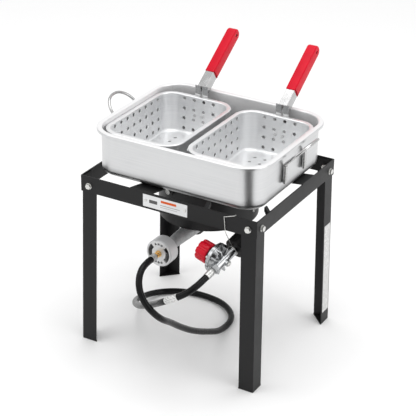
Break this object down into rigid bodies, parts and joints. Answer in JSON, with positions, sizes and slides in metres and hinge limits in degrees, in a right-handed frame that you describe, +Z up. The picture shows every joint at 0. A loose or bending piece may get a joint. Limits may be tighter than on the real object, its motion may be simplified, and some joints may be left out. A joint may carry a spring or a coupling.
{
  "type": "propane fish fryer kit",
  "caption": "Outdoor propane fryer: rectangular steel stand with wind shield, burner and gas hose, and an aluminium pan holding two perforated baskets with red grips.",
  "frame": {"origin": "middle of the outer box in plan, on the floor, measured without the hose and regulator", "axes": "+Z up, +Y from the gas hose side towards the basket handles, +X towards the regulator side"},
  "size_m": [0.4556, 0.5534, 0.5647],
  "materials": {
    "black_powder_coat": "satin black powder coat",
    "zinc_hardware": "zinc plated, satin",
    "cast_iron": "rough cast, dark",
    "venturi_steel": "mottled, bare galvanised steel",
    "burner_bracket_steel": "black heat-proof paint",
    "shutter_steel": "satin",
    "brass": "turned brass, bright",
    "crimped_ferrule": "bright crimped steel",
    "hose_rubber": "smooth black rubber",
    "label_white": "plain white label",
    "die_cast_zinc": "die cast, shiny",
    "knob_red_plastic": "glossy red",
    "nut_black_plastic": "satin black with ribs",
    "name_plate_metal": "printed metal plate, blank",
    "pan_aluminium": "satin drawn aluminium",
    "basket_aluminium": "satin drawn aluminium",
    "handle_steel": "bright plated steel",
    "grip_red_vinyl": "glossy dipped vinyl",
    "rivet_aluminium": "bright"
  },
  "bodies": {
    "stand": {"burner_bolts": "zinc_hardware", "burner_bracket": "burner_bracket_steel", "burner_cap": "cast_iron", "burner_casting": "cast_iron", "burner_ferrule": "crimped_ferrule", "cover_screws": "zinc_hardware", "front_rail": "black_powder_coat", "hanger_wire": "zinc_hardware", "hose": "hose_rubber", "hose_tag": "label_white", "inlet_nipple": "brass", "left_rail": "black_powder_coat", "leg_bolts": "zinc_hardware", "leg_feet": "black_powder_coat", "leg_front_left": "black_powder_coat", "leg_front_right": "black_powder_coat", "leg_nuts": "zinc_hardware", "leg_rear_left": "black_powder_coat", "leg_rear_right": "black_powder_coat", "mixer_bell": "shutter_steel", "name_plate": "name_plate_metal", "orifice_fitting": "brass", "orifice_lock_nut": "zinc_hardware", "pan_stops": "black_powder_coat", "pan_support_1": "black_powder_coat", "pan_support_2": "black_powder_coat", "pan_support_3": "black_powder_coat", "plate_rivets": "zinc_hardware", "rear_rail": "black_powder_coat", "regulator_body": "die_cast_zinc", "regulator_cover": "die_cast_zinc", "regulator_ferrule": "crimped_ferrule", "right_rail": "black_powder_coat", "shield_screws": "zinc_hardware", "side_label": "label_white", "vent_plug": "zinc_hardware", "venturi_tube": "venturi_steel", "wind_shield": "black_powder_coat"},
    "air_shutter": {"air_shutter": "shutter_steel"},
    "regulator_knob": {"regulator_knob": "knob_red_plastic"},
    "inlet_nut": {"inlet_nut": "nut_black_plastic"},
    "pan": {"pan": "pan_aluminium", "pan_handle_left": "handle_steel", "pan_handle_right": "handle_steel", "handle_clips_left": "handle_steel", "handle_clips_right": "handle_steel", "pan_rivets": "rivet_aluminium"},
    "basket_left": {"basket_left": "basket_aluminium", "basket_handle_left": "handle_steel", "basket_grip_left": "grip_red_vinyl", "basket_rivets_left": "rivet_aluminium"},
    "basket_right": {"basket_right": "basket_aluminium", "basket_handle_right": "handle_steel", "basket_grip_right": "grip_red_vinyl", "basket_rivets_right": "rivet_aluminium"}
  },
  "joints": [
    {"name": "pan_lift", "type": "slide", "parent": "stand", "child": "pan", "axis": [0, 0, 1], "range_m": [0, 0.12]},
    {"name": "basket_left_lift", "type": "slide", "parent": "pan", "child": "basket_left", "axis": [0, 0, 1], "range_m": [0, 0.15]},
    {"name": "basket_right_lift", "type": "slide", "parent": "pan", "child": "basket_right", "axis": [0, 0, 1], "range_m": [0, 0.15]},
    {"name": "air_shutter_turn", "type": "hinge", "parent": "stand", "child": "air_shutter", "pos_m": [-0.002, -0.2185, 0.2635], "axis": [0, 1, 0], "range_deg": [0, 80]},
    {"name": "regulator_knob_turn", "type": "hinge", "parent": "stand", "child": "regulator_knob", "pos_m": [0.1255, -0.1985, 0.2737], "axis": [-0.9729, 0.1795, 0.1457], "range_deg": [0, 540]},
    {"name": "inlet_nut_turn", "type": "hinge", "parent": "stand", "child": "inlet_nut", "pos_m": [0.1366, -0.15348, 0.29241], "axis": [0.2221, 0.9004, 0.3742], "continuous": true}
  ]
}
